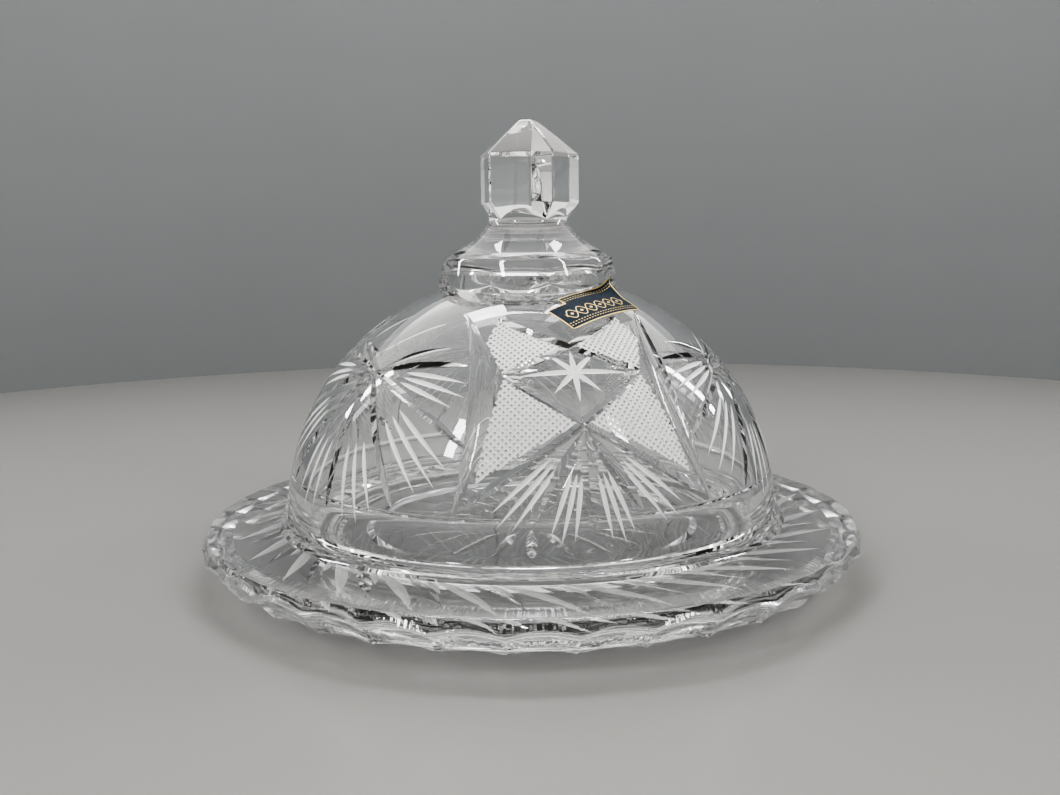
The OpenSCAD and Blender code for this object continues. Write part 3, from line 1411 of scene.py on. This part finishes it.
    def crescents(self) -> list[Cut]:
        """The broad polished hollows that part the panels, mirrored about the fan panel's middle.

        Returns:
            The two cuts.
        """
        way = ((41.0, 60.5), (24.0, 34.0), (28.5, 9.0))
        return [self.bowed(tuple((self.fan_middle + side * turn, height) for turn, height in way), 3.1,
                           wheel=Wheel.ROUND, slope=0.24) for side in (-1, 1)]

    def hatching(self, corners: list[Pair]) -> list[Cut]:
        """Two families of frosted grooves at right angles that leave small clear diamonds, clipped to a field.

        Each groove is the line at a whole number of pitches from the field's middle, cut where it meets
        the field's sides, taken as half planes.

        Args:
            corners: the field's four corners.

        Returns:
            The grooves.
        """
        pitch, half, gap, shortest, most = 1.34, 0.40, 0.25, 1.2, 14
        centre = tuple(float(np.mean(values)) for values in zip(*corners))
        poly = np.array([offset_on(self.dome, centre, corner) for corner in corners])
        area = np.sum(poly[:, 0] * np.roll(poly[:, 1], -1) - poly[:, 1] * np.roll(poly[:, 0], -1))
        poly = poly if area > 0 else poly[::-1]
        sides = np.roll(poly, -1, axis=0) - poly
        inward = np.column_stack([-sides[:, 1], sides[:, 0]]) / np.linalg.norm(sides, axis=1)[:, None]
        made = []
        for tilt in (45.0, 135.0):
            along = np.array([np.cos(np.radians(tilt)), np.sin(np.radians(tilt))])
            across = np.array([-along[1], along[0]])
            slope = inward @ along
            for number in range(-most, most + 1):
                origin = across * number * pitch
                room = np.einsum("ij,ij->i", inward, origin - poly) - gap
                with np.errstate(divide="ignore"):
                    meet = -room / slope
                low = np.max(np.where(slope > 0, meet, -np.inf))
                high = np.min(np.where(slope < 0, meet, np.inf))
                if high - low < shortest:
                    continue
                ends = [origin + along * reach for reach in (low, high)]
                start, end = (place_on(self.dome, centre, np.degrees(np.arctan2(x, -y)), np.hypot(x, y))
                              for x, y in ends)
                made.append(Cut(start, end, half, Finish.FROSTED, slope=0.6, run_out=0.5))
        return made

    def collar(self, glass: GlassMesh, row: Array) -> Array:
        """Dome's crown, groove, lobed collar that turns round at its top, and the flare.

        A lobe is a shallow arch: the radius falls by sink * u * u, with u from -1 to 1 across the lobe,
        and the lower edge rises with it into cusps. The sink fades to nothing at the upper edge.

        Args:
            glass: the mesh that is being gathered.
            row: the row of points to go on from.

        Returns:
            The row at the neck.
        """
        crown = np.linspace(self.high_angle + 1.2, np.degrees(np.arccos(self.groove_r / self.dome_r)), 4)
        row = glass.path(row, [(self.dome_r * np.cos(bend), self.seat_z + self.dome_h * np.sin(bend))
                               for bend in np.radians(crown)])
        pitch = 2 * np.pi / self.lobes
        phase = (glass.bearings - np.radians(self.lobe_middle)) / pitch
        arch = (2 * (phase - np.round(phase))) ** 2
        low, sink, lip = self.collar_z, self.lobe_sink, self.collar_top_r
        top = low + self.collar_h
        for inset, rise in ((0.30, 0.0), (0.04, 0.25), (0.0, 0.6)):
            row = glass.path(row, [(self.collar_low_r - inset - sink * arch, low - 1.7 + rise + 1.5 * arch)])
        for share in np.linspace(0.25, 0.97, 6):
            radius = self.collar_low_r + (lip - self.collar_low_r) * share
            row = glass.path(row, [(radius - sink * (1 - share) * arch, low + (top - low) * share)])
        flare = swept((lip - 0.35, top + 0.1), (self.neck_r + 1.6, top + self.flare_h * 0.55),
                      (self.neck_r, top + self.flare_h), np.linspace(0.06, 1.0, 12))
        return glass.path(row, [(lip - 0.08, top - 0.03), (lip - 0.35, top + 0.1), *flare])

    def knob(self, glass: GlassMesh, row: Array) -> None:
        """The knob on the neck, with its faces upright, slanted below and in two slopes above.

        A row's radius is the apothem over the cosine of the bearing from the face's middle, cut back at
        the corners. The slanted lower faces meet the round neck where that radius equals the neck's.

        Args:
            glass: the mesh that is being gathered.
            row: the row at the neck.
        """
        pitch = np.radians(360.0 / self.knob_sides)
        face = (glass.bearings - np.radians(self.knob_turn)) / pitch
        spread = np.cos((face - np.round(face)) * pitch)
        inset = np.cos(pitch / 2)

        def prism(corner: float, cut: float) -> Array:
            """Radii of a regular polygon of a corner radius whose corners are cut back."""
            return np.minimum(corner * inset / spread, corner - cut)

        neck = self.collar_z + self.collar_h + self.flare_h
        side = neck + self.knob_under_h
        crown = side + self.knob_side_h
        middle = crown + self.crown_low_h
        top = middle + self.crown_top_h
        rise = (self.neck_r * spread - self.neck_r * inset) / ((self.knob_r - self.neck_r) * inset)
        r, mid, flat, soft, cut = self.knob_r, self.crown_mid_r, self.crown_flat_r, 0.22, self.arris
        under, low = (r - self.neck_r) / self.knob_under_h, (r - mid) / self.crown_low_h
        high = (mid - flat) / self.crown_top_h
        row = glass.path(row, [
            (self.neck_r, neck + 0.02 + self.knob_under_h * np.clip(rise, 0, 1)),
            (prism(r - soft * under, cut), side - soft), (prism(r, cut), side + soft),
            (prism(r, cut), crown - soft), (prism(r - soft * low, cut), crown + soft),
            (prism(mid + soft * low, cut), middle - soft), (prism(mid - soft * high, cut), middle + soft),
            (prism(flat + soft * high, 0.2), top - soft), (prism(flat - soft, 0.2), top)])
        glass.close(row, top, True)


@dataclass
class Underplate:
    """The flat plate: scalloped rim, bevelled band, seat ring, shallow well, and cuts in its lower face."""

    rim_r: float
    seat_z: float
    columns: int = 432
    scallops: int = 36
    scallop_depth: float = 0.9
    scallop_turn: float = -3.75
    rim_low_z: float = 4.5
    rim_side_h: float = 6.1
    rim_lean: float = 5.4
    bevel: float = 2.0
    bevel_h: float = 3.8
    bevel_hollow: float = 0.22
    bevel_wave: float = 0.35
    flange_r: float = 92.0
    seat_rise: float = 1.2
    seat_out_r: float = 76.5
    seat_in_r: float = 68.5
    well_depth: float = 2.2
    foot_r: float = 60.0
    foot_w: float = 8.0
    foot_hollow: float = 2.5
    under_at: float = 68.0
    under_at_z: float = 8.4
    under_fall: float = -0.07
    cuts_from: float = 69.2
    cuts_to: float = 90.6
    leaves: int = 27
    rays: int = 24
    streaks_from: float = 92.5

    def build(self) -> bpy.types.Object:
        """Builds the plate as one closed mesh, from the foot's middle round the rim to the well's middle.

        Returns:
            The object.
        """
        glass = GlassMesh(self.columns, self.scallop_turn)
        row = self.flange_cuts(glass, self.foot(glass))
        self.well(glass, self.rim(glass, row))
        clear = PolishedCrystal(streaks_from=self.streaks_from * MM)
        return glass.build("plate_cut_crystal", [clear.material("clear_crystal_plate"),
                                                 FrostedCrystal().material("cut_frost_plate")])

    def foot(self, glass: GlassMesh) -> Array:
        """The hollow with its rayed star, the flat ring that stands on the table, and the cove outside it.

        Args:
            glass: the mesh that is being gathered.

        Returns:
            The row where the flange's lower face starts.
        """
        hollow, foot = self.foot_hollow, self.foot_r
        inner, edge = glass.add_row(3.0, hollow), foot - self.foot_w
        glass.close(inner, hollow, False)
        reach = edge - hollow
        star = CarvedRing(Underside(hollow, 0.0, 0.0), self.rays, 4.0, reach - 1.5, 4.0)
        ray = Cut((0.0, 5.0), (0.0, reach - 3.5), 1.6, Finish.CLEAR, slope=0.55, lead=1.4)
        lower, upper = star.carve(glass, [ray])
        glass.bridge(inner, lower)
        under = self.under_z(foot + 8)
        cove = swept((foot + 1, 1.2), (foot + 2.6, under), (foot + 8, under), np.linspace(0.0, 1.0, 8))
        return glass.path(upper, [(reach, hollow), (edge - 0.3, 0.3), (edge, 0.04), (foot - 0.3, 0.04),
                                  (foot, 0.3), *cove])

    def under_z(self, radius: float) -> float:
        """Height of the flange's lower face, which falls gently outwards."""
        return self.under_at_z + self.under_fall * (radius - self.under_at)

    def flange_cuts(self, glass: GlassMesh, row: Array) -> Array:
        """The slanting leaves under the flange: one long and frosted, one short and polished, one small.

        Args:
            glass: the mesh that is being gathered.
            row: the row of points to go on from.

        Returns:
            The row at the flange's outer edge.
        """
        face = Underside(self.under_at_z, self.under_at, self.under_fall)
        cuts = [Cut((-6.8, 69.8), (8.4, 90.0), 1.75, Finish.FROSTED, slope=0.5, lead=0.8),
                Cut((0.6, 70.4), (12.6, 87.4), 1.9, Finish.CLEAR, slope=0.55, lead=0.85),
                Cut((4.6, 70.2), (10.2, 79.5), 1.0, Finish.FROSTED, slope=0.5)]
        lower, upper = CarvedRing(face, self.leaves, self.cuts_from, self.cuts_to, 3.2).carve(glass, cuts)
        glass.bridge(row, lower)
        return upper

    def rim(self, glass: GlassMesh, row: Array) -> Array:
        """The leaning scalloped side, the hollow bevel above it and the flange. Returns the flange's row.

        A scallop is an arc of a wheel of radius W with its axis outside the rim, at the distance C:
        radius = C cos t - sqrt(W * W - C * C sin(t) ** 2), t being the bearing from the scallop's middle.
        The side leans out from it; the bevel leans in from the rim's widest circle. They meet in an arched
        edge where low_r + lean * (z - low_z) = rim_r - bevel_lean * (z - wide_z).

        Args:
            glass: the mesh that is being gathered.
            row: the row of points to go on from.

        Returns:
            The row at the flange's upper face.
        """
        half = np.pi / self.scallops
        chord = self.rim_r * np.sin(half)
        wheel = (chord ** 2 + self.scallop_depth ** 2) / (2 * self.scallop_depth)
        centre = self.rim_r * np.cos(half) - self.scallop_depth + wheel
        turn = (glass.bearings - np.radians(self.scallop_turn)) / (2 * half) - 0.5
        turn = (turn - np.round(turn)) * 2 * half
        wide = centre * np.cos(turn) - np.sqrt(wheel ** 2 - (centre * np.sin(turn)) ** 2)
        arch = 1 - (turn / half) ** 2
        lean, bevel_lean = self.rim_lean / self.rim_side_h, self.bevel / self.bevel_h
        low_r, wide_z = wide - self.rim_lean, self.rim_low_z + self.rim_side_h
        top_z = wide_z + self.bevel_h
        low_z = self.rim_low_z + 0.3 * (self.rim_r - self.rim_lean - low_r)
        edge_z = (self.rim_r - low_r + lean * low_z + bevel_lean * wide_z) / (lean + bevel_lean)
        edge_r = low_r + lean * (edge_z - low_z)
        row = glass.path(row, [(low_r - 0.5, low_z + 0.2), (low_r - 0.12, low_z), (low_r + 0.14, low_z + 0.14)])
        for share in (0.25, 0.5, 0.75, 0.97):
            height = (edge_z - low_z) * share
            row = glass.path(row, [(low_r + lean * height, low_z + height)])
        top_r = self.rim_r - self.bevel - self.bevel_wave * arch
        for share in (0.03, 0.25, 0.5, 0.75, 0.97):
            sunk = self.bevel_hollow * arch * 4 * share * (1 - share)
            radius = edge_r + (top_r - edge_r) * share - sunk
            row = glass.path(row, [(radius, edge_z + (top_z - edge_z) * share)])
        flange_z = self.seat_z - self.seat_rise
        inner = self.flange_r + 0.5 - self.bevel_wave * arch
        fall = (flange_z - top_z) / (top_r - inner)
        return glass.path(row, [(top_r - 0.3, top_z + 0.02), (top_r - 0.9, top_z + 0.06),
                                (inner + 0.5, flange_z - 0.5 * fall), (inner - 0.5, flange_z - 0.02)])

    def well(self, glass: GlassMesh, row: Array) -> None:
        """The raised ring that the cover stands on and the shallow well inside it.

        Args:
            glass: the mesh that is being gathered.
            row: the row of points to go on from.
        """
        z, rise = self.seat_z - self.seat_rise, self.seat_rise
        out, inner, floor = self.seat_out_r, self.seat_in_r, self.seat_z - self.well_depth
        foot = inner - self.well_depth
        row = glass.path(row, [
            (out + rise + 6.0, z), (out + rise + 0.5, z), (out + rise - 0.1, z + 0.15),
            (out + 0.25, z + rise - 0.25), (out - 0.3, z + rise), (inner + 0.3, z + rise),
            (inner - 0.3, z + rise - 0.2),
            (foot + 0.4, floor + 0.25), (foot - 0.5, floor), (inner - 20.0, floor), (20.0, floor)])
        glass.close(row, floor, True)


@dataclass
class FoilLabel:
    """A small foil label on the dome under the collar; its upper edge laps the collar and one corner curls.

    curl_out and curl_up say how far that corner comes away from the glass, out from it and up along it.
    """

    seat_z: float
    width: float = 28.6
    height: float = 13.2
    bearing: float = 31.0
    centre_r: float = 34.2
    turn: float = 17.0
    corner: float = 1.1
    tab_from: float = -7.4
    step: float = 2.9
    thickness: float = 0.12
    lift: float = 0.07
    nx: int = 96
    ny: int = 32
    ramp: float = 0.5
    clear_of_collar: float = 0.75
    curl_from: float = 0.45
    curl_out: float = 2.7
    curl_up: float = 1.4

    def build(self, cover: Cover) -> bpy.types.Object:
        """Builds the label: the flat shape laid on the dome, closed, with its own UV map.

        A grid point (x, y) of the flat label is turned in its own plane, then laid on the dome at the
        distance hypot(x, y) from the label's middle. Past the collar's edge the way in turns upwards.

        Args:
            cover: the cover that carries it.

        Returns:
            The object.
        """
        x, y = self.flat()
        tilt, dome = np.radians(self.turn), cover.dome
        along, up = x * np.cos(tilt) - y * np.sin(tilt), x * np.sin(tilt) + y * np.cos(tilt)
        centre = (self.bearing, float(np.degrees(np.arccos(self.centre_r / cover.dome_r))))
        ways = np.degrees(np.arctan2(along, -up))
        places = np.radians([place_on(dome, centre, way, gap) for way, gap in zip(ways, np.hypot(along, up))])
        limit = np.arccos((cover.collar_low_r + self.clear_of_collar) / cover.dome_r)
        past = np.clip(places[:, 1] - limit, 0, None) * dome.reference
        angle = np.minimum(places[:, 1], limit)
        chart = dome.reference * np.column_stack([places[:, 0], np.arcsinh(np.tan(angle))])
        normal, _, slope_up = dome.outward(chart)
        bend, curl = 1 - np.exp(-past / 1.2), self.curl(x, y)
        inner = dome.place(chart, np.full(len(chart), -self.lift))
        for out, rise in ((0.95 * past * bend, past * (0.42 - 0.25 * bend)),
                          (self.curl_out * curl, self.curl_up * curl)):
            inner = inner + normal * out[:, None] + slope_up * rise[:, None]
        return self.sheet(inner, normal, np.column_stack([x, y]))

    def flat(self) -> tuple[Array, Array]:
        """The grid points of the flat label: a rounded rectangle whose top is lower on its left.

        Formula: a row's half length is width / 2 - corner + sqrt(corner^2 - over^2), over being how far the
        row is into the corners. On the left, heights shrink so that the top falls by the step.

        Returns:
            Distances to the right of the middle and above it.
        """
        y = np.linspace(-self.height / 2, self.height / 2, self.ny + 1)
        over = np.clip(np.abs(y) - (self.height / 2 - self.corner), 0, self.corner)
        reach = self.width / 2 - self.corner + np.sqrt(self.corner ** 2 - over ** 2)
        x, y = np.outer(reach, np.linspace(-1, 1, self.nx + 1)), np.repeat(y[:, None], self.nx + 1, axis=1)
        share = np.clip((x - self.tab_from) / self.ramp + 0.5, 0, 1)
        drop = self.step * (1 - share * share * (3 - 2 * share))
        return x.ravel(), (y - drop * (y + self.height / 2) / self.height).ravel()

    def curl(self, x: Array, y: Array) -> Array:
        """How much each point curls: u^2 v^1.5, u and v growing towards the upper right corner."""
        right = np.clip((x / (self.width / 2) - self.curl_from) / (1 - self.curl_from), 0, 1)
        return right ** 2 * np.clip(y / (self.height / 2) + 0.1, 0, 1.1) ** 1.5

    def sheet(self, inner: Array, normal: Array, flat: Array) -> bpy.types.Object:
        """Closes the label: the grid, its copy moved outwards by the thickness, and a strip round the edge.

        Args:
            inner: points of the gummed face.
            normal: the dome's normal at each.
            flat: the same points on the flat label.

        Returns:
            The object.
        """
        outer, count = inner + normal * self.thickness, len(inner)
        index = np.arange(count).reshape(self.ny + 1, self.nx + 1)
        quads = np.stack([index[:-1, :-1], index[:-1, 1:], index[1:, 1:], index[1:, :-1]], axis=-1)
        quads = quads.reshape(-1, 4)
        ring = np.concatenate([index[0, :-1], index[:-1, -1], index[-1, :0:-1], index[:0:-1, 0]])
        after = np.roll(ring, -1)
        edge = np.stack([ring, after, after + count, ring + count], axis=1)
        faces = np.concatenate([quads[:, ::-1], quads + count, edge])
        mesh = bpy.data.meshes.new("foil_label")
        mesh.from_pydata((np.concatenate([inner, outer]) * MM).tolist(), [], faces.tolist())
        layer = mesh.uv_layers.new(name="print")
        layer.data.foreach_set("uv", np.concatenate([flat, flat])[faces.ravel()].ravel())
        mesh.shade_smooth()
        mesh.set_sharp_from_angle(angle=np.radians(LABEL_CREASE))
        foil = PrintedFoil(self.width, self.height, self.tab_from, self.step)
        mesh.materials.append(foil.material("printed_foil"))
        return add_object("foil_label", mesh)


@dataclass
class Studio:
    """Pale floor, grey surround, soft lights and the camera.

    Sizes are metres, turns degrees, and the lens and its sensor millimetres.
    """

    lens: float = 35.85
    sensor: float = 36.0
    distance: float = 0.324
    eye: float = 0.0987
    aim: float = 8.58
    roll: float = 0.7
    floor_r: float = 1.4
    floor_z: float = -0.0002
    wall_r: float = 0.52
    wall_h: float = 0.34
    sides: int = 96
    pale_floor: Colour = (0.235, 0.231, 0.224, 1.0)
    grey_wall: Colour = (0.185, 0.193, 0.197, 1.0)
    # Painted light: the surround's paler front colour, standing in for bright surroundings in front of the
    # dish.
    painted_light_front_wall: Colour = (0.64, 0.632, 0.618, 1.0)
    sky: Colour = (1.0, 0.985, 0.96, 1.0)
    sky_strength: float = 1.1

    def build(self) -> None:
        """Builds the whole studio."""
        self.surround()
        self.lights()
        self.camera()
        self.light_paths()

    def surround(self) -> None:
        """The floor is a disc; the surround is an upright ring that faces in, open above, and painted paler in
        front as painted light that stands in for bright surroundings there.
        """
        count = self.sides
        turn = np.linspace(0, 2 * np.pi, count + 1)[:-1]
        ring = np.column_stack([np.cos(turn), np.sin(turn)])
        level = np.full(count, self.floor_z)
        floor = MattStage(self.pale_floor, 0.3)
        self.piece("floor", np.column_stack([ring * self.floor_r, level]), [list(range(count))], floor)
        base = np.column_stack([ring * self.wall_r, level])
        faces = [[i, i + count, (i + 1) % count + count, (i + 1) % count] for i in range(count)]
        self.piece("surround", np.concatenate([base, base + [0, 0, self.wall_h]]), faces,
                   # The surround's front colour is painted light, paler in front to stand in for bright
                   # surroundings there.
                   MattStage(self.grey_wall, 0.9, self.painted_light_front_wall, one_sided=True))

    def piece(self, name: str, points: Array, faces: list[list[int]], finish: MattStage) -> None:
        """Adds a stage piece.

        Args:
            name: the name that it gets.
            points: its points in metres.
            faces: corner numbers of each face.
            finish: what it is made of.
        """
        mesh = bpy.data.meshes.new(name)
        mesh.from_pydata(points.tolist(), [], faces)
        mesh.shade_smooth()
        mesh.materials.append(finish.material(name))
        add_object(name, mesh)

    def lights(self) -> None:
        """A broad light overhead, tall ones in front and at both sides, and a pale sky."""
        self.area("overhead", (0.0, 0.30, 0.62), 0.05, (0.42, 0.10), 1.9)
        self.area("window", (-0.34, -0.40, 0.42), 0.07, (0.05, 0.26), 1.5)
        self.area("left_strip", (-0.46, 0.16, 0.30), 0.06, (0.03, 0.26), 0.8)
        self.area("right_strip", (0.46, 0.16, 0.30), 0.06, (0.03, 0.26), 0.8)
        self.area("fill", (0.38, -0.34, 0.40), 0.07, (0.04, 0.24), 1.0)
        world = bpy.data.worlds.new("studio_sky")
        world.use_nodes = True
        background = world.node_tree.nodes["Background"]
        background.inputs["Color"].default_value = self.sky
        background.inputs["Strength"].default_value = self.sky_strength
        bpy.context.scene.world = world

    def area(self, name: str, place: Triple, height: float, size: Pair, power: float) -> None:
        """Adds an area light that faces a point of the dish's axis.

        Args:
            name: the name that it gets.
            place: where it stands.
            height: the height on the axis that it faces.
            size: its width and height.
            power: its power in watts.
        """
        lamp = bpy.data.lights.new(name, "AREA")
        lamp.shape, lamp.energy = "RECTANGLE", power
        lamp.size, lamp.size_y = size
        made = add_object(name, lamp)
        made.location = place
        made.rotation_euler = (Vector((0, 0, height)) - Vector(place)).to_track_quat("-Z", "Y").to_euler()

    def camera(self) -> None:
        """The camera looks along +Y from the front, a little down."""
        lens = bpy.data.cameras.new("camera")
        lens.lens, lens.sensor_width, lens.clip_start = self.lens, self.sensor, 0.01
        made = add_object("camera", lens)
        made.matrix_world = (Matrix.Translation((0.0, -self.distance, self.eye))
                             @ Matrix.Rotation(np.radians(90 - self.aim), 4, "X")
                             @ Matrix.Rotation(-np.radians(self.roll), 4, "Z"))
        bpy.context.scene.camera = made

    def light_paths(self) -> None:
        """Lets light pass through the many walls of the crystal, and sets how light turns to tones."""
        cycles, view = bpy.context.scene.cycles, bpy.context.scene.view_settings
        cycles.max_bounces, cycles.transmission_bounces, cycles.glossy_bounces = 20, 20, 8
        cycles.diffuse_bounces, cycles.transparent_max_bounces = 4, 12
        cycles.caustics_reflective = cycles.caustics_refractive = True
        cycles.blur_glossy, cycles.sample_clamp_indirect = 0.6, 4.0
        cycles.use_denoising = True
        view.view_transform, view.look = "AgX", "AgX - High Contrast"


def main() -> None:
    """Builds the dish's pieces in order, hangs each on its body, and sets up the studio."""
    logging.basicConfig(level=logging.INFO, format="%(name)s: %(message)s")
    _, plate_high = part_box("plate")
    cover_low, cover_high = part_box("cover")
    seat_z = cover_low[2] / MM
    rim_r = plate_high[0] / MM / np.cos(np.radians(Underplate.scallop_turn))
    plate, cover, label = Underplate(rim_r, seat_z), Cover(seat_z, cover_high[0] / MM), FoilLabel(seat_z)
    for piece, body, node, slot in ((plate.build(), "plate", "plate", "plate_crystal"),
                                    (cover.build(), "cover", "cover", "cover_crystal"),
                                    (label.build(cover), "cover", "label", "foil_label")):
        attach(piece, body)
        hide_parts(node)
        LOG.info("%s rides on %s and stands for %s: %d faces", piece.name, body, node, len(piece.data.polygons))
    Studio().build()


if __name__ == "__main__":
    main()
